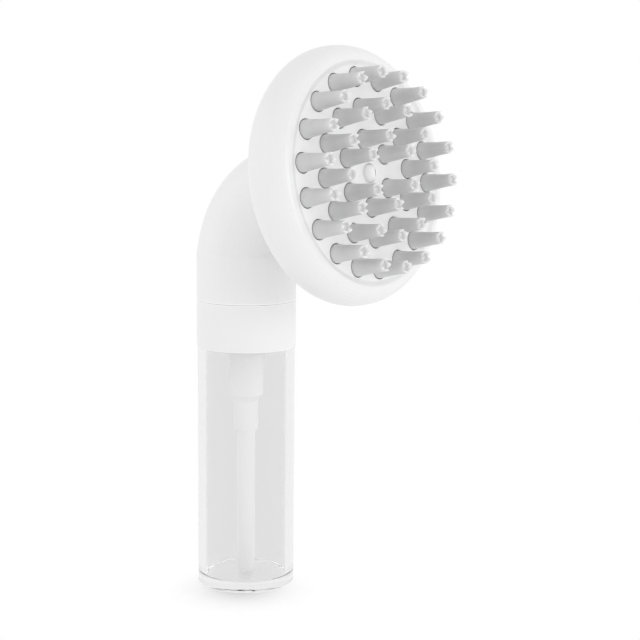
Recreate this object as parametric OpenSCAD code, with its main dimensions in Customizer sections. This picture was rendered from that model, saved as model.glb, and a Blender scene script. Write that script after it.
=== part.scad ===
// Handheld bath brush with a soap pump: a clear bottle, a screw collar and a
// bent neck that carries a round head with soft bristles.
// Millimetres. Origin at the middle of the bottle's foot, +Z up, head towards +X.

/* [Bottle] */
// Outside diameter of the bottle
bottle_d = 37.8; // [36:0.2:44]
// Height of the bottle's body, from the foot to the ledge under the collar
bottle_h = 94.2; // [84:0.2:130]
// Wall of the bottle's body
bottle_wall = 3.2; // [2:0.1:3.4]
// Thickness of the bottle's floor
bottle_floor = 3.4; // [2:0.1:6]
// Rounding of the edge at the foot
foot_edge = 0.5; // [0.3:0.1:1.5]
// Rounding inside, between wall and floor
floor_edge = 0.8; // [0.4:0.1:2]

/* [Neck and collar] */
// Outside diameter of the neck
neck_d = 27.4; // [26.4:0.1:28]
// Bore of the neck
neck_bore = 21.2; // [20.6:0.1:22.4]
// Height of the neck above the ledge
neck_h = 14; // [13:0.5:18]
// Thickness of the soft ring on the neck's lip
gasket_t = 1; // [0.8:0.1:1.6]
// Wall of the collar's outer skirt
skirt_wall = 2; // [1.2:0.1:2.2]
// Wall of the collar's inner, threaded ring
thread_wall = 1.8; // [1.2:0.1:2]
// Thickness of the collar's deck
deck_t = 1.8; // [1.6:0.1:2.6]
// Outside diameter of the chimney that guides the neck
chimney_d = 31; // [30:0.1:31.2]
// Wall of the chimney
chimney_wall = 2.4; // [1.2:0.1:2.6]
// Height of the chimney above the deck
chimney_h = 13.5; // [12:0.5:16]

/* [Pump] */
// Travel of the pump
stroke = 10; // [6:0.5:10]
// Outside diameter of the pump's barrel
barrel_d = 13.2; // [12.8:0.1:13.8]
// Wall of the barrel
barrel_wall = 1.4; // [0.8:0.1:1.6]
// Length of the barrel below the top of its flange
barrel_len = 35.2; // [34.4:0.2:44]
// Length of the barrel's wide cup below the top of its flange
cup_len = 14.6; // [12:0.2:18]
// Outside diameter of that cup
cup_d = 19.4; // [18:0.1:19.8]
// Height of the flare from the barrel to the cup
flare_h = 7.6; // [4:0.2:10]
// Step from the neck's outside in to the edge of the barrel's flange
flange_step = 0.3; // [0:0.05:0.6]
// Thickness of the flange
flange_t = 1.4; // [1:0.1:2]
// Outside diameter of the inlet under the barrel
inlet_d = 9.4; // [9:0.1:10.4]
// Length of the inlet
inlet_len = 11.4; // [10.6:0.2:16]
// Height of the taper between barrel and inlet
taper_h = 2.7; // [2:0.1:4]
// Outside diameter of the dip tube
tube_d = 7; // [6:0.1:7.4]
// Wall of the dip tube
tube_wall = 1.1; // [0.6:0.1:1.2]
// Gap between the dip tube's end and the bottle's floor
tube_gap = 0.8; // [0.5:0.1:3]
// Diameter of the inlet ball
ball_d = 4.8; // [4.4:0.1:5]
// Outside diameter of the stem
stem_d = 7; // [6.6:0.1:7.2]
// Bore of the stem
stem_bore = 3.6; // [3:0.1:4]
// Height of the piston
piston_h = 5.4; // [4:0.1:5.6]
// Outside diameter of the spring
spring_d = 9.4; // [8.4:0.1:9.8]
// Wire of the spring
spring_wire = 0.9; // [0.6:0.05:1]
// Turns of the spring
spring_turns = 6; // [5:1:6]

/* [Neck tube] */
// Wall of the bent neck
elbow_wall = 2.6; // [1.8:0.1:2.6]
// Straight height of the bent neck above the collar
elbow_rise = 17.9; // [17.6:0.1:26]
// Radius of the bend's middle line
bend_r = 28; // [25:0.5:40]
// Outside diameter of the neck where it meets the head
neck_end_d = 30; // [28:0.5:34]
// Straight length between the bend and the head
neck_len = 12.9; // [8:0.1:24]
// Tilt of the head's axis above level
tilt = 8.5; // [0:0.5:25]
// Outside diameter of the soap tube inside the neck
hose_d = 6; // [5.4:0.1:6.4]
// Wall of the soap tube
hose_wall = 1; // [0.7:0.05:1.1]

/* [Head] */
// Diameter of the head
head_d = 93.8; // [93:0.2:104]
// Wall of the head's shells
head_wall = 1; // [0.9:0.1:2]
// Depth of the rim's round front, from its crest to the widest place
rim_depth = 10; // [8:0.5:14]
// Width of the rim from its crest to the widest place
rim_w = 6.1; // [4:0.1:6.4]
// Width of the slope from the rim's crest down to the face
rim_slope = 2.5; // [1.8:0.1:3.6]
// Height of the rim's crest above the face
rim_h = 0.9; // [0.4:0.1:2]
// Depth of the head's round back, behind the widest place
back_depth = 14; // [12.6:0.2:20]
// Diameter of the flat middle of the back
back_flat_d = 54; // [48:0.5:60]
// Thickness of the perforated face plate
face_t = 1; // [0.9:0.1:2.4]
// Where the two shells part, as an angle round the back's curve
part_angle = 48; // [40:1:54]
// Width of the flange that holds the face plate behind the rim
plate_flange = 2; // [1.4:0.1:2.4]
// Height of the collar of plastic round the valve
hub_h = 1.2; // [0.6:0.1:1.6]
// Width of that collar's concave foot
hub_w = 2.8; // [1.6:0.1:3]

/* [Bristles] */
// Turn of the bristles' pattern about the head's axis
pattern_turn = 2.1; // [-5:0.1:5]
// Rows of bristles round the nozzle
rows = 3; // [2:1:3]
// Bristles in the first row, and more in each row after it
per_row = 6; // [4:2:6]
// Radius of the first row
first_row_r = 12.2; // [11.6:0.1:12.4]
// Diameter of the holes in the face
hole_d = 7.4; // [7:0.1:7.8]
// Gap between a bristle and its hole
hole_gap = 0.35; // [0.1:0.05:0.4]
// Height of a bristle above the face, without its crown
bristle_h = 11.6; // [8:0.2:18]
// Diameter of a bristle under its crown
tip_d = 4.5; // [3.8:0.1:4.8]
// Points in the crown of a bristle
crown_points = 5; // [4:1:6]
// Height of the crown's points
crown_h = 1.6; // [1:0.1:2.4]
// Wall of a bristle at its root
bristle_wall = 0.6; // [0.6:0.1:1.2]
// Thickness of the pad that the bristles stand on
pad_t = 0.8; // [0.8:0.1:2.4]
// Thickness of the plate that clamps the pad
clamp_t = 0.8; // [0.8:0.1:2.4]

/* [Nozzle] */
// Diameter of the soft valve where it stands out of the face
valve_d = 6.6; // [6.2:0.1:8]
// Height of the valve above the face
valve_h = 3.8; // [2.4:0.1:4.4]
// Length of the valve's slit
slit_len = 2.4; // [1.6:0.1:3]
// Width of the valve's slit
slit_w = 0.5; // [0.3:0.05:0.8]

/* [Hidden] */

$fn = 96;
e = 0.01;           // overlap of cutting bodies
run = 0.08;         // radial gap of a running fit
snug = 0.05;        // radial gap of parts that are pushed together
face_gap = 0.05;    // gap between faces that turn on each other
seam = 0.12;        // gap that shows as a seam between moving parts

white = "white";
clear_blue = [0.9, 0.94, 0.96, 0.35];
grey = [0.72, 0.72, 0.73];

// heights on the bottle's axis
bottle_r = bottle_d / 2;
neck_r = neck_d / 2;
flange_r = neck_r - flange_step;
lip_z = bottle_h + neck_h;
flange_z = lip_z + face_gap + gasket_t;
flange_top = flange_z + flange_t;
deck_z = flange_top + face_gap;
deck_top = deck_z + deck_t;
shoulder_h = 4.2;                       // from the ledge to the foot of the neck
ledge_rise = 1.2;

// collar
collar_step = 0.35;                     // the collar stands out past the bottle's wall
collar_r = bottle_r + collar_step;
step_r = collar_r - skirt_wall - 0.15;  // step of the bottle inside the collar's skirt
collar_z = bottle_h + seam;
thread_gap = 0.25;
flange_ledge = 1.2;                     // width of the flange under the collar's deck
ring_r = neck_r + thread_gap;           // bore of the threaded ring
deck_hole_r = flange_r - flange_ledge;
chimney_r = chimney_d / 2;
chimney_top = deck_top + chimney_h;

// pump
bore_r = barrel_d / 2 - barrel_wall;
barrel_z = flange_top - barrel_len;
inlet_top = barrel_z - taper_h;
inlet_z = inlet_top - inlet_len;
socket_len = 8;                         // dip tube inside the inlet
seat_t = 1.6;                           // web under the ball's seat
seat_hole_r = ball_d / 3;
seat_h = 1.6;
chamber_r = ball_d / 2 + 0.6;
seat_z = inlet_z + socket_len + seat_t;
floor_z = barrel_z + 1.6;
cage_t = 0.8;
cage_hole_r = ball_d / 2 - 0.5;
seat_slope = atan((chamber_r - seat_hole_r) / seat_h);
ball_z = seat_z + (ball_d / 2 * cos(seat_slope) - seat_hole_r) / tan(seat_slope)
         + ball_d / 2 * sin(seat_slope) + 0.03;
plug_len = 3.9;                         // stem retainer inside the cup
plug_r = bore_r + 1.55;
shoulder_t = 1.2;                       // ring on the stem above the piston
foot_t = 1.3;                           // foot of the stem under the piston
retainer_z = flange_top - plug_len;
piston_top = retainer_z - stroke - shoulder_t - 0.6;
piston_z = piston_top - piston_h;
stem_z = piston_z - 0.1 - foot_t;
stem_r = stem_d / 2;
spring_z = floor_z + cage_t;
spring_h = stem_z - spring_z;

// bent neck
elbow_z = deck_top + seam;
elbow_r = collar_r;
elbow_in = elbow_r - elbow_wall;
bend_z = elbow_z + elbow_rise;
bend = 90 - tilt;
reach = bend_r * tan(bend / 2);         // from the bend's ends to where its axes cross
axis_z = bend_z + reach;
end_r = neck_end_d / 2;
back_s = reach + neck_len;              // along the head's axis from that crossing

// stem socket, inside the bent neck
web_t = 2.4;
web_z = chimney_top + 1.2;
stem_top = web_z + web_t + 2;
stem_grip = 10;                         // length of stem in the socket, below the web
boss_wall = 4;                          // wall of the socket round the stem
out_ball_d = stem_bore + 0.8;
out_ball_z = stem_top + sqrt(pow(out_ball_d, 2) - pow(stem_bore, 2)) / 2 + 0.03;
valve_room = out_ball_d + 0.8;          // height over the stem for the outlet ball
hose_z = stem_top + valve_room + 1;
hose_grip = 4;                          // length of soap tube in its socket
hose_r = hose_d / 2;
hose_bend_z = hose_z + hose_grip;
hose_reach = axis_z - hose_bend_z;
hose_bend_r = hose_reach / tan(bend / 2);

// head, measured along its axis from the face, +Z out of the face
head_r = head_d / 2;
crest_r = head_r - rim_w;
wide_z = rim_h - rim_depth;
back_z = wide_z - back_depth;
flat_r = back_flat_d / 2;
face_s = back_s - back_z;
hole_r = hole_d / 2;
face_r = crest_r - rim_slope;
edge_gap = 0.2;                         // from the plate's edge to the last row of holes
last_row_r = face_r - edge_gap - hole_r;
row_pitch = (last_row_r - first_row_r) / (rows - 1);
corner = 0.32;                          // fillet between the plate and its flange
pad_z = -face_t - pad_t;
clamp_z = pad_z - clamp_t;
pad_r = face_r - corner - snug;
flange_out = face_r + plate_flange;
part_z = wide_z - back_depth * sin(part_angle);
root_r = hole_r - hole_gap;
dish = 0.6;                             // hollow inside a bristle's crown
valve_r = valve_d / 2;
brim_r = valve_r + 1.7;
duct_r = 1.2;
barb_r = hose_r - hose_wall - snug;
barb_len = 7.4;
tail_len = 3.7;
nozzle_flange_t = 1.2;
nozzle_flange_w = 3.2;                  // width of the nozzle's flange beyond the valve
nozzle_z = clamp_z - nozzle_flange_t;
hose_end = face_s + nozzle_z - tail_len; // along the head's axis from the crossing

// clamp screws, in the gaps between the second and the third row
screw_count = per_row / 2;
screw_angle = 180 / (per_row * rows);
screw_row_r = last_row_r - row_pitch / 2;
screw_room = norm([screw_row_r * cos(screw_angle) - (last_row_r - row_pitch), screw_row_r * sin(screw_angle)]) - root_r;
boss_r = min(2.4, screw_room - 0.4);
pilot_r = 1.05;
screw_r = 1;
screw_head_r = 2.2;
screw_head_h = 1.4;

// where the head's axis leaves the bottle's axis: +Z becomes the head's axis
module on_head_axis() translate([0, 0, axis_z]) rotate([0, bend, 0]) children();
module on_face() on_head_axis() translate([0, 0, face_s]) children();

module tube(r_out, r_in, z0, z1) {
  translate([0, 0, z0]) difference() {
    cylinder(r = r_out, h = z1 - z0);
    translate([0, 0, -e]) cylinder(r = r_in, h = z1 - z0 + 2 * e);
  }
}

// ---- bottle ----

module bottle() {
  inner_r = bottle_r - bottle_wall;
  bore = neck_bore / 2;
  edge = [for (a = [0 : 15 : 90])
    [bottle_r - foot_edge * (1 - sin(a)), foot_edge * (1 - cos(a))]];
  inside = [for (a = [0 : 15 : 90])
    [inner_r - floor_edge * (1 - sin(a)), bottle_floor + floor_edge * (1 - cos(a))]];
  inner_top = bottle_h - max(0.1, 1.8 - (step_r - inner_r)); // keeps the shoulder thick under a thin wall
  color(clear_blue) rotate_extrude() polygon(concat(
    [[0, 0]],
    edge,
    [[bottle_r, bottle_h],
     [step_r, bottle_h],
     [step_r, bottle_h + ledge_rise],
     [neck_r, bottle_h + shoulder_h],
     [neck_r, lip_z],
     [bore, lip_z],
     [bore, bottle_h + shoulder_h - 1],
     [inner_r, inner_top]],
    [for (i = [len(inside) - 1 : -1 : 0]) inside[i]],
    [[0, bottle_floor]]));
}

// ---- pump unit ----

module dip_tube() {
  color(white) tube(tube_d / 2, tube_d / 2 - tube_wall, bottle_floor + tube_gap, inlet_z + socket_len);
}

module neck_gasket() {
  color(grey) tube(flange_r - 0.2, neck_bore / 2, lip_z + face_gap, flange_z);
}

module pump_housing() {
  cup_z = flange_top - cup_len;
  color(white) rotate_extrude() polygon([
    [tube_d / 2 + snug, inlet_z],
    [inlet_d / 2 - 0.3, inlet_z],
    [inlet_d / 2, inlet_z + 1.4],
    [inlet_d / 2, inlet_top],
    [barrel_d / 2, barrel_z],
    [barrel_d / 2, cup_z - flare_h],
    [barrel_d / 2 + (cup_d - barrel_d) * 0.18, cup_z - flare_h * 0.5],
    [cup_d / 2, cup_z],
    [min(cup_d / 2 + 0.6, neck_bore / 2 - 0.15), flange_z],
    [flange_r, flange_z],
    [flange_r, flange_top],
    [plug_r + snug, flange_top],
    [plug_r + snug, retainer_z],
    [bore_r, retainer_z],
    [bore_r, floor_z],
    [chamber_r, floor_z],
    [chamber_r, seat_z + seat_h],
    [seat_hole_r, seat_z],
    [seat_hole_r, seat_z - seat_t],
    [tube_d / 2 + snug, seat_z - seat_t]]);
}

// ring over the inlet ball, with slots that let the soap past
module ball_cage() {
  slot = 1.2;
  color(white) difference() {
    tube(bore_r - snug, cage_hole_r, floor_z, floor_z + cage_t);
    for (a = [0, 90]) rotate(a)
      translate([-chamber_r + 0.4, -slot / 2, floor_z - e])
        cube([2 * chamber_r - 0.8, slot, cage_t + 2 * e]);
  }
}

module inlet_ball() {
  color("silver") translate([0, 0, ball_z]) sphere(d = ball_d, $fn = 48);
}

function coil_point(t, r, z0, h) = [r * cos(360 * t), r * sin(360 * t), z0 + h * t / spring_turns];
function coil_ring(t, r, z0, h, wire, sides) = [
  for (j = [0 : sides - 1])
    let (a = 360 * j / sides + 30)
    coil_point(t, r + wire / 2 * cos(a), z0, h) + [0, 0, wire / 2 * sin(a)]];

// one unbroken tube with 6 sides and 8 rings to a turn
module pump_spring() {
  sides = 6;
  rings = 8 * spring_turns;
  r = (spring_d - spring_wire) / 2;
  z0 = spring_z + spring_wire / 2 + face_gap;
  climb = spring_h - spring_wire - 2 * face_gap;
  points = [for (i = [0 : rings]) each coil_ring(i / 8, r, z0, climb, spring_wire, sides)];
  skin = [for (i = [0 : rings - 1], j = [0 : sides - 1])
    let (k = (j + 1) % sides, a = i * sides, b = (i + 1) * sides)
    each [[a + j, b + k, b + j], [a + j, a + k, b + k]]];
  first_end = [for (j = [1 : sides - 2]) [0, j + 1, j]];
  last_end = [for (j = [1 : sides - 2]) [rings * sides, rings * sides + j, rings * sides + j + 1]];
  echo(spring_gap_mm = climb / spring_turns - spring_wire);
  color("silver") polyhedron(points, concat(skin, first_end, last_end));
}

// plug in the mouth of the cup that guides the stem
module stem_retainer() {
  color(white) rotate_extrude() polygon([
    [stem_r + run, retainer_z],
    [plug_r, retainer_z],
    [plug_r, flange_top],
    [deck_hole_r - 0.3, flange_top],
    [deck_hole_r - 0.3, deck_top - 0.6],
    [stem_r + 2.2, deck_top - 0.6],
    [stem_r + run, deck_top - 1.4]]);
}

// ---- collar ----

module collar() {
  skirt_in = collar_r - skirt_wall;
  ring_z = bottle_h + shoulder_h + 0.6;
  color(white) {
    rotate_extrude() polygon([
      [skirt_in, collar_z],
      [collar_r, collar_z],
      [collar_r, deck_top],
      [chimney_r, deck_top],
      [chimney_r, chimney_top - 0.5],
      [chimney_r - 0.5, chimney_top],
      [chimney_r - chimney_wall, chimney_top],
      [chimney_r - chimney_wall, deck_top],
      [deck_hole_r, deck_top],
      [deck_hole_r, deck_z],
      [ring_r, deck_z],
      [ring_r, ring_z],
      [ring_r + thread_wall, ring_z],
      [ring_r + thread_wall, deck_z],
      [skirt_in, deck_z]]);
  }
}

// ---- plunger and stem ----

// sealing sleeve with a lip at each end, free to turn on the stem
module piston() {
  lip_r = bore_r - snug;
  waist_r = bore_r - 0.9;
  color(white) rotate_extrude() polygon([
    [stem_r + snug, piston_z],
    [waist_r, piston_z],
    [lip_r, piston_z + 0.1],
    [lip_r, piston_z + 1],
    [waist_r, piston_z + 1.8],
    [waist_r, piston_top - 1.8],
    [lip_r, piston_top - 1],
    [lip_r, piston_top - 0.1],
    [waist_r, piston_top],
    [stem_r + snug, piston_top]]);
}

module stem() {
  bore = stem_bore / 2;
  foot_r = bore_r - 0.8;
  color(white) difference() {
    rotate_extrude() polygon([
      [0, stem_z],
      [foot_r, stem_z],
      [foot_r, stem_z + foot_t],
      [stem_r, stem_z + foot_t],
      [stem_r, piston_top + 0.1],
      [stem_r + 0.9, piston_top + 0.1],
      [stem_r + 0.9, piston_top + 0.1 + shoulder_t - 0.3],
      [stem_r, piston_top + 0.1 + shoulder_t],
      [stem_r, stem_top],
      [bore, stem_top],
      [bore, stem_z + foot_t + 0.6],
      [0, stem_z + foot_t + 0.6]]);
    translate([-stem_r - 1, 0, piston_z + 1.6]) rotate([0, 90, 0]) cylinder(r = 0.8, h = 2 * stem_r + 2);
  }
}

module outlet_ball() {
  color("silver") translate([0, 0, out_ball_z]) sphere(d = out_ball_d, $fn = 48);
}

// holds the stem, the outlet valve and the soap tube in the foot of the bent neck
module stem_socket() {
  sleeve_in = chimney_r + run;
  boss_out = stem_r + boss_wall;
  room_r = out_ball_d / 2 + 0.7;
  rib_t = 1.6;
  rib_h = 9;
  color(white) {
    rotate_extrude() polygon([
      [sleeve_in, elbow_z + 0.5],
      [elbow_in - snug, elbow_z + 0.5],
      [elbow_in - snug, web_z + web_t],
      [boss_out, web_z + web_t],
      [boss_out, hose_z + hose_grip - 0.8],
      [boss_out - 0.8, hose_z + hose_grip],
      [hose_r + snug, hose_z + hose_grip],
      [hose_r + snug, hose_z],
      [out_ball_d / 2 - 0.7, hose_z],
      [out_ball_d / 2 - 0.7, stem_top + valve_room],
      [room_r, stem_top + valve_room],
      [room_r, stem_top],
      [stem_r + snug, stem_top],
      [stem_r + snug, web_z - stem_grip],
      [boss_out, web_z - stem_grip],
      [boss_out, web_z],
      [sleeve_in, web_z]]);
    for (a = [45 : 90 : 315]) rotate(a)
      translate([boss_out - 0.5, -rib_t / 2, web_z - rib_h])
        cube([chimney_r - chimney_wall - 0.5 - boss_out + 0.5, rib_t, rib_h + 0.5]);
  }
}

// ---- bent neck ----

// a ring of points square to a bent middle line, at an angle a from upright
function line_ring(x, z, a, r, sides) = [
  for (j = [0 : sides - 1])
    let (b = 360 * j / sides)
    [x + r * cos(b) * cos(a), r * sin(b), z - r * cos(b) * sin(a)]];

// a tube along a line of [x, z, angle from upright, outer radius]
module swept_tube(line, wall, sides) {
  rings = len(line);
  n = rings * sides;
  last = n - sides;
  outer = [for (p = line) each line_ring(p[0], p[1], p[2], p[3], sides)];
  inner = [for (p = line) each line_ring(p[0], p[1], p[2], p[3] - wall, sides)];
  walls = [for (i = [0 : rings - 2], j = [0 : sides - 1])
    let (k = (j + 1) % sides, a = i * sides, b = a + sides)
    each [[a + j, b + j, b + k], [a + j, b + k, a + k],
          [n + a + j, n + b + k, n + b + j], [n + a + j, n + a + k, n + b + k]]];
  ends = [for (j = [0 : sides - 1])
    let (k = (j + 1) % sides)
    each [[j, k, n + k], [j, n + k, n + j],
          [last + j, n + last + k, last + k], [last + j, n + last + j, n + last + k]]];
  polyhedron(concat(outer, inner), concat(walls, ends), convexity = 6);
}

// the line rises to z1, bends with radius r to the head's axis and follows that for len_s;
// its outer radius goes from r0 to r1 round the bend
function bent_line(z0, z1, r, s1, r0, r1, steps) = concat(
  [[0, z0, 0, r0]],
  [for (i = [0 : steps])
    let (t = i / steps, a = bend * t)
    [r * (1 - cos(a)), z1 + r * sin(a), a, r0 + (r1 - r0) * pow(t, 0.85)]],
  [[s1 * cos(tilt), axis_z + s1 * sin(tilt), bend, r1]]);

// the neck narrows round the bend, and is round all along
module elbow() {
  color(white)
    swept_tube(bent_line(elbow_z, bend_z, bend_r, back_s, elbow_r, end_r, 16), elbow_wall, 56);
}

module soap_tube() {
  color(grey)
    swept_tube(bent_line(hose_z, hose_bend_z, hose_bend_r, hose_end, hose_r, hose_r, 12), hose_wall, 20);
}

// ---- head ----

// points of the head's outline from its widest place to the flat of the back, w inside the surface
function back_curve(from, to, w) = [
  for (i = [0 : 10])
    let (a = from + (to - from) * i / 10)
    [flat_r + (head_r - flat_r - w) * cos(a), wide_z - (back_depth - w) * sin(a)]];
// the rim's round front, from the widest place to the crest
function rim_curve(w) = [
  for (i = [0 : 8])
    let (a = 90 * i / 8)
    [crest_r + (rim_w - w) * cos(a), wide_z + (rim_depth - w) * sin(a)]];
// the slope from the crest down to the face
function lip_curve(w) = [
  for (i = [1 : 6])
    let (t = i / 6)
    [crest_r + (face_r - crest_r) * t, rim_h / 2 * (1 + cos(180 * t)) - w]];

// the angle round the inner curve of the back that is level with the parting plane
inner_part_angle = asin((wide_z - part_z) / (back_depth - head_wall));
part_r = flat_r + (head_r - flat_r) * cos(part_angle);
part_in = flat_r + (head_r - flat_r - head_wall) * cos(inner_part_angle);

module bristle_places() {
  for (row = [0 : rows - 1])
    for (i = [0 : per_row * (row + 1) - 1])
      rotate(pattern_turn + 360 * i / (per_row * (row + 1)))
        translate([first_row_r + row * row_pitch, 0, 0]) children();
}
module screw_places() {
  for (i = [0 : screw_count - 1])
    rotate(pattern_turn + screw_angle + 360 * i / screw_count) translate([screw_row_r, 0, 0]) children();
}

// rim and front half of the head's side, with a ledge that the face plate is pushed up to
module rim_shell() {
  color(white) on_face() rotate_extrude($fn = 128) polygon(concat(
    [[face_r + face_gap, -face_t], [face_r + face_gap, 0]],
    [for (i = [5 : -1 : 0]) lip_curve(0)[i]],
    [for (i = [7 : -1 : 0]) rim_curve(0)[i]],
    [for (i = [1 : 10]) back_curve(0, part_angle, 0)[i]],
    [for (i = [10 : -1 : 1]) back_curve(0, inner_part_angle, head_wall)[i]],
    [for (i = [0 : 8]) rim_curve(head_wall)[i]],
    [[flange_out + 0.2, -face_t]]));
}

// perforated plate with a flange behind the rim's ledge
module face_plate() {
  hub_r = valve_r + 0.15;
  color(white) on_face() difference() {
    union() {
      rotate_extrude($fn = 128) polygon(concat(
        [[0, -face_t], [0, hub_h]],
        [for (a = [0 : 15 : 90]) [hub_r + hub_w * (1 - cos(a)), hub_h * (1 - sin(a))]],
        [[face_r, 0],
         [face_r, -face_t - face_gap],
         [flange_out, -face_t - face_gap],
         [flange_out, pad_z],
         [face_r + 0.2, pad_z],
         [face_r + 0.2, -face_t - corner],
         [face_r - corner, -face_t]]));
      screw_places() translate([0, 0, pad_z + face_gap]) cylinder(r = boss_r, h = pad_t, $fn = 32);
    }
    bristle_places() translate([0, 0, -face_t - e]) cylinder(r = hole_r, h = face_t + 2 * e, $fn = 48);
    translate([0, 0, -face_t - e]) cylinder(r = hub_r, h = face_t + hub_h + 2 * e);
    screw_places() translate([0, 0, pad_z]) cylinder(r = pilot_r, h = pad_t + face_t - 0.5, $fn = 24);
  }
}

// round back with a ring that enters the face shell and a spigot that enters the neck
module back_shell() {
  ring_t = 1.4;
  ring_h = 3;                           // reach of the ring into the front shell
  ring_out = part_in - 0.2;
  spigot_r = end_r - elbow_wall - snug;
  spigot_len = 5;
  color(white) on_face() rotate_extrude($fn = 128) polygon(concat(
    [for (i = [0 : 10]) back_curve(part_angle, 90, 0)[i]],
    [[spigot_r, back_z],
     [spigot_r, back_z - spigot_len + 0.6],
     [spigot_r - 0.6, back_z - spigot_len],
     [spigot_r - 1.4, back_z - spigot_len],
     [spigot_r - 1.4, back_z + head_wall]],
    [for (i = [10 : -1 : 0]) back_curve(inner_part_angle + 8, 90, head_wall)[i]],
    [[ring_out - ring_t, part_z + 0.8],
     [ring_out - ring_t, part_z + ring_h],
     [ring_out - 0.4, part_z + ring_h],
     [ring_out, part_z + ring_h - 0.6],
     [ring_out, part_z]]));
}

function bristle_r(t) = tip_d / 2 + (root_r - tip_d / 2) * pow(1 - t, 1.4);

// one bristle: a trumpet that ends in a crown, a thin wall with a notch between every two points
module bristle() {
  tip_r = tip_d / 2;
  notch = PI * tip_r / crown_points - 0.2;
  difference() {
    rotate_extrude($fn = 32) polygon(concat(
      [[0, pad_z + pad_t / 2], [root_r, pad_z + pad_t / 2]],
      [for (i = [0 : 5]) [bristle_r(i / 5), bristle_h * i / 5]],
      [[tip_r, bristle_h + crown_h],
       [tip_r - 0.4, bristle_h + crown_h],
       [tip_r - 1, bristle_h - 0.2],
       [0, bristle_h - dish]]));
    for (i = [0 : crown_points - 1]) rotate(360 * i / crown_points)
      translate([0, 0, bristle_h + 0.1]) rotate([90, 0, 90]) linear_extrude(tip_r + 1)
        polygon([[0, 0], [notch, crown_h], [-notch, crown_h]]);
  }
}

module bristle_pad() {
  core_r = root_r - bristle_wall;
  core_tip_r = tip_d / 2 - bristle_wall;
  web = 0.8;                            // over the hollow of a bristle
  color(grey) on_face() difference() {
    union() {
      translate([0, 0, pad_z]) cylinder(r = pad_r, h = pad_t);
      bristle_places() bristle();
    }
    bristle_places() translate([0, 0, pad_z - e])
      cylinder(r1 = core_r, r2 = core_tip_r, h = bristle_h - dish - web - pad_z, $fn = 24);
    translate([0, 0, pad_z - e]) cylinder(r = brim_r + 0.2, h = pad_t + 2 * e);
    screw_places() translate([0, 0, pad_z - e]) cylinder(r = boss_r + 0.2, h = pad_t + 2 * e, $fn = 32);
  }
}

module pad_clamp() {
  window = root_r - 0.15;
  color(white) on_face() difference() {
    translate([0, 0, clamp_z]) cylinder(r = part_in - 0.6, h = clamp_t);
    translate([0, 0, clamp_z - e]) cylinder(r = valve_r - 1.1, h = clamp_t + 2 * e);
    bristle_places() translate([0, 0, clamp_z - e]) cylinder(r = window, h = clamp_t + 2 * e, $fn = 32);
    screw_places() translate([0, 0, clamp_z - e]) cylinder(r = screw_r + 0.3, h = clamp_t + 2 * e, $fn = 24);
  }
}

module nozzle() {
  flange_r = valve_r + nozzle_flange_w;
  nose_r = valve_r - 1.2;
  tail_r = barb_r + 1.2;
  color(white) on_face() rotate_extrude() polygon([
    [duct_r, pad_z + 0.5],
    [nose_r, pad_z + 0.5],
    [nose_r, clamp_z],
    [flange_r, clamp_z],
    [flange_r, nozzle_z],
    [tail_r, nozzle_z],
    [tail_r, nozzle_z - tail_len],
    [barb_r, nozzle_z - tail_len],
    [barb_r, nozzle_z - tail_len - barb_len + 1],
    [barb_r - 0.5, nozzle_z - tail_len - barb_len],
    [duct_r, nozzle_z - tail_len - barb_len]]);
}

// soft dome with a slit that opens under pressure
module slit_valve() {
  skin = 0.9;
  in_r = valve_r - skin;
  color(white) on_face() difference() {
    rotate_extrude() polygon(concat(
      [[in_r, pad_z],
       [brim_r, pad_z],
       [brim_r, -face_t],
       [valve_r, -face_t]],
      [for (a = [0 : 15 : 90]) [valve_r * cos(a), 0.3 + (valve_h - 0.3) * sin(a)]],
      [for (a = [90 : -15 : 0]) [in_r * cos(a), 0.3 + (valve_h - 0.3 - skin) * sin(a)]]));
    translate([-slit_len / 2, -slit_w / 2, 0]) cube([slit_len, slit_w, valve_h + 1]);
  }
}

module clamp_screws() {
  color("silver") on_face() screw_places() difference() {
    union() {
      translate([0, 0, clamp_z - screw_head_h]) cylinder(r = screw_head_r, h = screw_head_h, $fn = 32);
      translate([0, 0, clamp_z - e]) cylinder(r = screw_r, h = clamp_t + pad_t + face_t - 0.7, $fn = 24);
    }
    for (a = [0, 90]) rotate(a) translate([-1.2, -0.25, clamp_z - screw_head_h - e]) cube([2.4, 0.5, 0.7]);
  }
}

bottle();
dip_tube();
neck_gasket();
pump_housing();
ball_cage();
inlet_ball();
pump_spring();
stem_retainer();
collar();
piston();
stem();
outlet_ball();
stem_socket();
elbow();
soap_tube();
back_shell();
rim_shell();
face_plate();
bristle_pad();
pad_clamp();
nozzle();
slit_valve();
clamp_screws();
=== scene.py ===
# %% [markdown]
# # A pet bath brush with a soap pump
# The brush stands on a clear bottle. A white collar closes it, and a bent neck carries a round head
# with soft grey bristles. Every solid comes from the CAD model, which Blender loads as a fixed
# frame, so this script only dresses it: each piece gets the finish of the real plastic, silicone or
# steel, made of shader nodes. All lengths are metres, +Z is up and the head leans along +X.

# %% Load the model
import math

import bpy
from mathutils import Matrix, Vector


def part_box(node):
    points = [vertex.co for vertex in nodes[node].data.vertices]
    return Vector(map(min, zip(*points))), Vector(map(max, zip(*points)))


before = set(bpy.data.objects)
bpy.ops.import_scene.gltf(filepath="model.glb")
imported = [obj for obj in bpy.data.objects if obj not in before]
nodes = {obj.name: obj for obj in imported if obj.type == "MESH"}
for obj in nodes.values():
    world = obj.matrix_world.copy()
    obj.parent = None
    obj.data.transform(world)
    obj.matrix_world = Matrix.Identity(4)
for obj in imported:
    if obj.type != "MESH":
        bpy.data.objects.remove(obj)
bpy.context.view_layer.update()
MM = 0.001


# %% [markdown]
# ## The camera
# A product picture is usually taken with a long lens from a little above, so that upright edges
# stay upright. The camera could be aimed by a constraint, but a plain matrix keeps it where it is.

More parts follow.
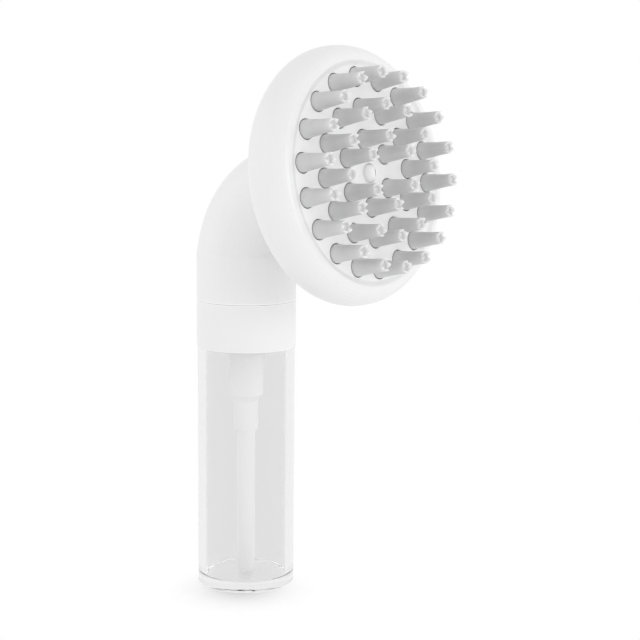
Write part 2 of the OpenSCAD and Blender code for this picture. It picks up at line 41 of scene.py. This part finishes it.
# %% Place the camera
CAMERA_PLACE = Vector((0.3862, -0.4030, 0.1906))
CAMERA_AIM = Vector((-0.64633, 0.74765, -0.15262)).normalized()
CAMERA_ROLL = math.radians(0.565)
LENS_MM, SENSOR_MM = 81.56, 36

level = CAMERA_AIM.cross(Vector((0, 0, 1))).normalized()
upright = level.cross(CAMERA_AIM)
right = level * math.cos(CAMERA_ROLL) + upright * math.sin(CAMERA_ROLL)
up = right.cross(CAMERA_AIM)
camera_data = bpy.data.cameras.new("camera")
camera_data.lens = LENS_MM
camera_data.sensor_width = SENSOR_MM
camera = bpy.data.objects.new("camera", camera_data)
camera_turn = Matrix((right, up, -CAMERA_AIM)).transposed().to_4x4()
camera.matrix_world = Matrix.Translation(CAMERA_PLACE) @ camera_turn
bpy.context.scene.collection.objects.link(camera)
bpy.context.scene.camera = camera
print("lens", LENS_MM, "mm, distance to the bottle", round(CAMERA_PLACE.xy.length, 3), "m")

# %% [markdown]
# ## Nodes and colours
# Paint shops and web pages give colours as sRGB hex values, while the renderer works in linear
# light, so one function turns one into the other. A second function adds any shader node with its
# settings and links, which keeps each material readable as a list of steps. A last one puts a
# finished material on pieces of the model, in place of the plain one that they were loaded with.

# %% Helpers for materials
WHITE = "#FFFFFF"
MIX_A, MIX_B, MIX_RESULT = 6, 7, 2  # the sockets in which a Mix node keeps its colours


def linear(hex_colour):
    parts = [int(hex_colour[i:i + 2], 16) / 255 for i in (1, 3, 5)]
    return [c / 12.92 if c <= 0.04045 else ((c + 0.055) / 1.055) ** 2.4 for c in parts] + [1.0]


def add(tree, kind, inputs=None, **settings):
    made = tree.nodes.new(kind)
    for name, value in settings.items():
        setattr(made, name, value)
    for name, value in (inputs or {}).items():
        socket = made.inputs[name]
        if isinstance(value, bpy.types.NodeSocket):
            tree.links.new(value, socket)
        else:
            socket.default_value = value
    return made


def new_material(name):
    material = bpy.data.materials.new(name)
    material.use_nodes = True
    material.node_tree.nodes.clear()
    return material, material.node_tree


def dress(material, *names):
    for name in names:
        slots = nodes[name].data.materials
        slots.clear()
        slots.append(material)
    print(material.name, "on", ", ".join(names))


print("mid grey #808080 in linear light:", [round(c, 3) for c in linear("#808080")[:3]])

# %% [markdown]
# ## The floor
# The floor is white paper that runs on past the edge of the picture, so it only needs to be large
# and flat. A curved backdrop would do as well, but nothing of its bend would be seen. It lies a hair
# below the foot, because two surfaces in one place flicker.

# %% A sheet of paper
FLOOR_SIZE = 6.0
FLOOR_GAP = 0.05 * MM

half = FLOOR_SIZE / 2
corners = [(x * half, y * half, -FLOOR_GAP) for x, y in ((-1, -1), (1, -1), (1, 1), (-1, 1))]
floor_mesh = bpy.data.meshes.new("floor")
floor_mesh.from_pydata(corners, [], [(0, 1, 2, 3)])
floor = bpy.data.objects.new("floor", floor_mesh)
bpy.context.scene.collection.objects.link(floor)
print("a floor of", FLOOR_SIZE, "m,", FLOOR_GAP / MM, "mm below the foot")

# %% [markdown]
# ## White paper with a contact shadow
# Paper under plain lamps renders a little grey. More light would bleach the object, so the paper's
# white comes from a light of its own that only the camera, glosses and clear walls see. Round the
# foot this light fades and the paper is toned darker: the clear bottle lets the lamps' light pass,
# so its contact shadow would otherwise be too faint.

# %% Paper
SHADOW_PLACE = (7.9 * MM, -10.4 * MM, 0)  # the middle of the contact shadow, at the front of the foot
SHADOW_REACH = 30 * MM
SHADOW_FALL = 1.3                         # above 1 it falls off fast at first, then slowly
SHADOW_TONE = "#BDBDBD"


def eye_rays(tree):
    """The light path, and 1 for rays from the camera, off a gloss or out of a clear wall."""
    path = add(tree, "ShaderNodeLightPath")
    seen = add(tree, "ShaderNodeMath", {0: path.outputs["Is Camera Ray"], 1: path.outputs["Is Glossy Ray"]},
               operation="MAXIMUM")
    seen = add(tree, "ShaderNodeMath", {0: seen.outputs[0], 1: path.outputs["Is Transmission Ray"]},
               operation="MAXIMUM")
    return path, seen.outputs[0]


# uncoated paper: matt and bright, with no sheen at all
paper, tree = new_material("white_paper")
path, seen = eye_rays(tree)
place = add(tree, "ShaderNodeTexCoord").outputs["Object"]
reach = add(tree, "ShaderNodeVectorMath", {0: place, 1: SHADOW_PLACE}, operation="DISTANCE")
near = add(tree, "ShaderNodeMapRange", {
    "Value": reach.outputs["Value"], "From Min": SHADOW_REACH, "From Max": 0.0})
depth = add(tree, "ShaderNodeMath", {0: near.outputs[0], 1: SHADOW_FALL}, operation="POWER")
tone = add(tree, "ShaderNodeMix", {
    "Factor": depth.outputs[0], MIX_A: linear(WHITE), MIX_B: linear(SHADOW_TONE)}, data_type="RGBA")
matt = add(tree, "ShaderNodeBsdfDiffuse", {"Color": tone.outputs[MIX_RESULT]})
fade = add(tree, "ShaderNodeMath", {0: 1.0, 1: depth.outputs[0]}, operation="SUBTRACT")
open_floor = add(tree, "ShaderNodeMath", {0: fade.outputs[0], 1: path.outputs["Is Transmission Ray"]},
                 operation="MAXIMUM")
share = add(tree, "ShaderNodeMath", {0: seen, 1: open_floor.outputs[0]}, operation="MULTIPLY")
own_light = add(tree, "ShaderNodeEmission", {"Color": linear(WHITE), "Strength": 1.0})
either = add(tree, "ShaderNodeMixShader", {
    0: share.outputs[0], 1: matt.outputs[0], 2: own_light.outputs[0]})
add(tree, "ShaderNodeOutputMaterial", {"Surface": either.outputs[0]})
floor_mesh.materials.append(paper)
print("the contact shadow reaches", round(SHADOW_REACH / MM), "mm")

# %% [markdown]
# ## Light from the room
# A white studio sends light back from every wall. Boards round the object would do that too, but a
# world with a soft gradient does it with less noise: full at the sides, weaker overhead, which
# leaves the tops of round shapes a touch darker. What is seen of it is plain white.

# %% Room
ROOM_SIDE, ROOM_TOP = 1.02, 0.72

world = bpy.data.worlds.new("studio")
world.use_nodes = True
world.node_tree.nodes.clear()
bpy.context.scene.world = world
tree = world.node_tree
_, seen = eye_rays(tree)
sky = add(tree, "ShaderNodeSeparateXYZ", {"Vector": add(tree, "ShaderNodeTexCoord").outputs["Generated"]})
lit = add(tree, "ShaderNodeMapRange", {"Value": sky.outputs["Z"], "To Min": ROOM_SIDE, "To Max": ROOM_TOP})
strength = add(tree, "ShaderNodeMapRange", {"Value": seen, "To Min": lit.outputs[0], "To Max": 1.0})
room = add(tree, "ShaderNodeBackground", {"Color": linear(WHITE), "Strength": strength.outputs[0]})
add(tree, "ShaderNodeOutputWorld", {"Surface": room.outputs[0]})
print("room light", ROOM_SIDE, "at the sides,", ROOM_TOP, "overhead")

# %% [markdown]
# ## The lamps
# Large soft boxes give wide, gentle shading with no hard edge. One stands at the camera's left, a
# small one faces the bristles, and one stands at the right, beyond the brush. Their strength is set
# so that a colour renders about as written. A clear wall would show each box as a hard white
# rectangle, like a piece broken out of the foot, so rays that come out of such a wall don't see them.

# %% Soft boxes
LIT_PLACE = (0.02, 0, 0.11)  # the middle of the brush


def soft_box(name, place, width, height, watts):
    data = bpy.data.lights.new(name, "AREA")
    data.shape = "RECTANGLE"
    data.size = width
    data.size_y = height
    data.energy = watts
    lamp = bpy.data.objects.new(name, data)
    lamp.location = place
    lamp.rotation_mode = "QUATERNION"
    lamp.rotation_quaternion = (Vector(LIT_PLACE) - Vector(place)).to_track_quat("-Z", "Y")
    lamp.visible_transmission = False
    bpy.context.scene.collection.objects.link(lamp)
    print(name, width, "x", height, "m,", watts, "W")


soft_box("left_box", (-0.85, -0.75, 0.45), 1.2, 1.2, 1.6)
soft_box("face_box", (1.25, -0.12, 0.36), 0.5, 0.5, 1.9)
soft_box("right_box", (0.75, 1.05, 0.3), 0.9, 1.2, 1.4)

# %% [markdown]
# ## Anything that comes out of a mould
# A moulded piece copies its tool. A spark-eroded tool leaves a fine, even grain, which makes the
# gloss soft and keeps the surface from being mirror flat. The grain could be sculpted, but it is a
# tenth of a millimetre, too fine to show, so noise of half a millimetre and more stands for it, in
# the gloss and as a bump. A second, slow noise lets the colour drift a little, as real batches do.

# %% Moulded finish
CLOUD_MM = 18        # size of the patches in which the colour drifts
GLOSS_SPREAD = 0.04  # how far the roughness moves either way
GRAIN_LOW, GRAIN_HIGH = 0.3, 0.7  # the part of the noise that is used


def moulded(name, colour, roughness, grain_mm, depth_mm, ior=1.54, patch=0.012, skin=0.0):
    """A moulded material. colour is a hex value, or a function that makes one from the place on the
    piece. skin is how much of the light goes in and comes out again a millimetre further on."""
    material, tree = new_material(name)
    where = add(tree, "ShaderNodeTexCoord").outputs["Object"]
    cloud = add(tree, "ShaderNodeTexNoise", {
        "Vector": where, "Scale": 1 / (CLOUD_MM * MM), "Detail": 2.0})
    shade = add(tree, "ShaderNodeMapRange", {
        "Value": cloud.outputs["Fac"], "To Min": 1 - patch, "To Max": 1.0})
    base = colour(tree, where) if callable(colour) else linear(colour)
    drift = add(tree, "ShaderNodeMix", {"Factor": 1.0, MIX_A: base, MIX_B: shade.outputs[0]},
                data_type="RGBA", blend_type="MULTIPLY")
    grain = add(tree, "ShaderNodeTexNoise", {
        "Vector": where, "Scale": 1 / (grain_mm * MM), "Detail": 3.0})
    gloss = add(tree, "ShaderNodeMapRange", {
        "Value": grain.outputs["Fac"], "From Min": GRAIN_LOW, "From Max": GRAIN_HIGH,
        "To Min": roughness - GLOSS_SPREAD, "To Max": roughness + GLOSS_SPREAD})
    bump = add(tree, "ShaderNodeBump", {
        "Height": grain.outputs["Fac"], "Distance": depth_mm * MM, "Strength": 1.0})
    shader = add(tree, "ShaderNodeBsdfPrincipled", {
        "Base Color": drift.outputs[MIX_RESULT], "Roughness": gloss.outputs[0], "IOR": ior,
        "Normal": bump.outputs[0], "Subsurface Weight": skin, "Subsurface Radius": (1, 1, 1),
        "Subsurface Scale": 1.0 * MM})
    add(tree, "ShaderNodeOutputMaterial", {"Surface": shader.outputs[0]})
    return material


print("a moulded colour drifts in patches of", CLOUD_MM, "mm")

# %% [markdown]
# ## The white shells
# Neck, collar and head are ABS, the usual plastic for a shell that is held in the hand. Its satin
# skin gives one wide, soft sheen along the neck and round the rim of the head.

# %% Satin ABS
ABS_WHITE = "#F0F0F0"
SATIN = {"roughness": 0.36, "grain_mm": 0.6, "depth_mm": 0.004}

# ABS from a satin mould: bright and neutral, with a wide soft sheen
dress(moulded("satin_abs", ABS_WHITE, **SATIN), "stem_socket", "back_shell", "rim_shell")

# %% [markdown]
# ## The seam, painted paler
# The neck swivels on the collar, and the gap between them lies in shade as a dark line. Painted light
# eases it: both edges are painted paler near the seam. This could be painted by hand, but the seam
# lies at one height, so the distance from that height gives the paler band, whatever way the head is turned.

# %% ABS painted paler at the seam
SEAM_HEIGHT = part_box("elbow")[0][2]
SEAM_LIGHT_FULL, SEAM_LIGHT_NONE = 0.2 * MM, 0.65 * MM


def seam_painted_light(tree, where):
    height = add(tree, "ShaderNodeSeparateXYZ", {"Vector": where}).outputs["Z"]
    away = add(tree, "ShaderNodeMath", {0: height, 1: SEAM_HEIGHT}, operation="SUBTRACT")
    away = add(tree, "ShaderNodeMath", {0: away.outputs[0]}, operation="ABSOLUTE")
    # painted light: the ABS goes paler near the seam, against the shade that falls in the gap
    seam_light = add(tree, "ShaderNodeMapRange", {
        "Value": away.outputs[0], "From Min": SEAM_LIGHT_NONE, "From Max": SEAM_LIGHT_FULL})
    tone = add(tree, "ShaderNodeMix", {
        "Factor": seam_light.outputs[0], MIX_A: linear(ABS_WHITE), MIX_B: linear(WHITE)}, data_type="RGBA")
    return tone.outputs[MIX_RESULT]


# the same satin ABS, painted paler in a thin band on both sides of the seam: painted light against the shade
# in the gap
dress(moulded("seam_lit_satin_abs", seam_painted_light, **SATIN), "collar", "elbow")
print("the seam is at", round(SEAM_HEIGHT / MM, 1), "mm")

# %% [markdown]
# ## The face and the pump
# The face plate is ABS too, from a finer tool, and painted a touch paler than the shells, as painted
# light against the shade that the bristles cast on it. The pump is polypropylene, because soap doesn't harm
# it and it slides well, and its piston is softer polyethylene, whose lips seal. They differ from the
# shells in gloss and tone, so each is the same recipe with its own values.

# %% Finer ABS, polypropylene and polyethylene
# ABS from a finer tool: flatter than the shells, and painted a touch paler as painted light against the
# bristles' shade
dress(moulded("face_abs", "#F6F6F6", 0.42, 0.5, 0.003), "face_plate", "pad_clamp", "nozzle")
# polypropylene: waxy and a little milky
dress(moulded("pump_polypropylene", "#FBFBFB", 0.34, 0.9, 0.004, ior=1.49),
      "dip_tube", "pump_housing", "ball_cage", "stem_retainer", "stem")
# polyethylene: duller and softer to the eye
dress(moulded("piston_polyethylene", "#DADBDC", 0.5, 0.7, 0.004, ior=1.51, skin=0.2), "piston")

# %% [markdown]
# ## The bristles
# The bristles are liquid silicone rubber, moulded in one piece with the pad behind the face. Silicone
# is soft to look at as well: light goes in and comes out a little further on, and the gloss is dull.
# Little light gets down into the holes of the face, and the thin points of the crowns let light
# through, so a colour ramp over the height on the face paints shade into the holes and light onto the
# crowns, over the grey of the silicone.

# %% Bristle silicone
FACE_TILT = math.radians(8.5)
FACE_AXIS = (math.cos(FACE_TILT), 0, math.sin(FACE_TILT))
FACE_PLACE = Vector((59.5, 0, 163.7)) * MM
SILICONE_IOR = 1.41
# the grey of the silicone along a bristle, with painted shade darkening it down in the holes and painted
# light at the crowns
BRISTLE_TONES_AND_SHADING = (  # heights over the face in mm, from the hole to the tips
    (-1.0, "#808080"), (0.1, "#DADADA"), (5.3, "#CFCFCF"), (9.5, "#D1D1D1"), (11.6, "#DADADA"),
    (13.2, "#FCFCFC"))


def bristle_colour_and_shading(tree, where):
    (lowest, first), *between, (highest, last) = BRISTLE_TONES_AND_SHADING
    face = FACE_PLACE.dot(Vector(FACE_AXIS))
    height = add(tree, "ShaderNodeVectorMath", {0: where, 1: FACE_AXIS}, operation="DOT_PRODUCT")
    part = add(tree, "ShaderNodeMapRange", {
        "Value": height.outputs["Value"], "From Min": face + lowest * MM, "From Max": face + highest * MM})
    ramp = add(tree, "ShaderNodeValToRGB", {"Fac": part.outputs[0]})
    stops = ramp.color_ramp.elements
    stops[0].color, stops[1].color = linear(first), linear(last)
    for level, colour in between:
        stops.new((level - lowest) / (highest - lowest)).color = linear(colour)
    return ramp.outputs["Color"]


# silicone rubber, pigmented grey: dull and soft, with painted shade in its holes and painted light at the
# crowns
dress(moulded("bristle_silicone", bristle_colour_and_shading, 0.48, 0.8, 0.006, ior=SILICONE_IOR, patch=0.02, skin=0.25),
      "bristle_pad")
print("tones along a bristle:", len(BRISTLE_TONES_AND_SHADING))

# %% [markdown]
# ## The valve, the seal and the hose
# The slit valve in the middle of the face is unpigmented silicone. The seal under the pump's flange
# is foam, and the hose through the neck is soft vinyl. The last two are hidden until the brush is
# taken apart, but they get their own finish, so that they look right when it is.

# %% Soft pieces
# silicone rubber without pigment: nearly white, dull
dress(moulded("valve_silicone", "#FAFAFA", 0.45, 0.8, 0.004, ior=SILICONE_IOR, patch=0.006), "slit_valve")
# closed-cell foam: quite matt, with pores
dress(moulded("seal_foam", "#C9C9CA", 0.8, 0.4, 0.02, ior=1.45), "neck_gasket")
# plasticised vinyl: smooth, glossy, a little see-through at its skin
dress(moulded("hose_vinyl", "#D5D7D8", 0.3, 1.2, 0.004, ior=1.52, skin=0.3), "soap_tube")

# %% [markdown]
# ## Stainless steel
# The valve balls, the spring and the screws are stainless steel, bright from tumbling among small
# stones. A metal has no colour under its gloss: its base colour is what it reflects. Tumbling leaves
# fine scratches in every direction, so one noise moves the roughness and no bump is needed.

# %% Tumbled steel
STEEL_COLOUR = "#C6C5C2"
SCRATCH_MM = 0.5  # coarser than real scratches, which wouldn't show

# tumbled stainless steel: a warm, slightly broken mirror
steel, tree = new_material("tumbled_stainless_steel")
where = add(tree, "ShaderNodeTexCoord").outputs["Object"]
scratches = add(tree, "ShaderNodeTexNoise", {
    "Vector": where, "Scale": 1 / (SCRATCH_MM * MM), "Detail": 4.0})
gloss = add(tree, "ShaderNodeMapRange", {
    "Value": scratches.outputs["Fac"], "To Min": 0.16, "To Max": 0.34})
metal = add(tree, "ShaderNodeBsdfPrincipled", {
    "Base Color": linear(STEEL_COLOUR), "Metallic": 1.0, "Roughness": gloss.outputs[0]})
add(tree, "ShaderNodeOutputMaterial", {"Surface": metal.outputs[0]})
dress(steel, "inlet_ball", "outlet_ball", "pump_spring", "clamp_screws")
print("steel reflects", [round(c, 2) for c in linear(STEEL_COLOUR)[:3]])

# %% [markdown]
# ## The clear bottle
# The bottle is thick-walled PETG, polished inside and out. It bends light as thick glass does: the
# walls show as two paler bands at the sides, because light that meets the inside of the wall at a
# low angle is turned back. The wall is real in the model, so plain refraction gives the bands.
#
# Lamps have to reach the pump inside, so rays from lamps and from matt surfaces pass straight
# through. A ray that has bounced about in the wall for long would end black, while in a real wall it
# gets out sooner or later, so such rays are let out too. The polish isn't perfect either: drawing
# the bottle off its core leaves faint upright waves, which a stretched noise gives as a bump.

# %% PETG
PETG_TINT, PETG_IOR = "#EEEEEE", 1.57
LET_OUT_FROM, LET_OUT_ALL = 5.0, 7.0  # bounces after which none and all of the rays are let out
DRAW_MM, DRAW_DEPTH_MM = 5, 0.03      # width and depth of the upright waves
DRAW_STRETCH = (1, 1, 0.06)           # they are about 17 times as long as wide

# clear PETG, polished: a bright outline, pale bands in the wall and the pump plain to see
petg, tree = new_material("clear_petg")
path = add(tree, "ShaderNodeLightPath")
lit_through = add(tree, "ShaderNodeMath", {
    0: path.outputs["Is Shadow Ray"], 1: path.outputs["Is Diffuse Ray"]}, operation="MAXIMUM")
trapped = add(tree, "ShaderNodeMapRange", {
    "Value": path.outputs["Ray Depth"], "From Min": LET_OUT_FROM, "From Max": LET_OUT_ALL})
let_through = add(tree, "ShaderNodeMath", {0: lit_through.outputs[0], 1: trapped.outputs[0]},
                  operation="MAXIMUM")
where = add(tree, "ShaderNodeTexCoord").outputs["Object"]
drawn = add(tree, "ShaderNodeVectorMath", {0: where, 1: DRAW_STRETCH}, operation="MULTIPLY")
waves = add(tree, "ShaderNodeTexNoise", {
    "Vector": drawn.outputs[0], "Scale": 1 / (DRAW_MM * MM), "Detail": 1.0})
bump = add(tree, "ShaderNodeBump", {
    "Height": waves.outputs["Fac"], "Distance": DRAW_DEPTH_MM * MM, "Strength": 1.0})
clear = add(tree, "ShaderNodeBsdfPrincipled", {
    "Base Color": linear(PETG_TINT), "Roughness": 0.0, "IOR": PETG_IOR, "Transmission Weight": 1.0,
    "Normal": bump.outputs[0]})
straight = add(tree, "ShaderNodeBsdfTransparent", {"Color": linear(WHITE)})
either = add(tree, "ShaderNodeMixShader", {
    0: let_through.outputs[0], 1: clear.outputs[0], 2: straight.outputs[0]})
add(tree, "ShaderNodeOutputMaterial", {"Surface": either.outputs[0]})
dress(petg, "bottle")
print("the bottle's wall bends light by", PETG_IOR)

# %% [markdown]
# The Standard view leaves each colour as it was mixed.

# %% Finish
bpy.context.scene.view_settings.view_transform = "Standard"
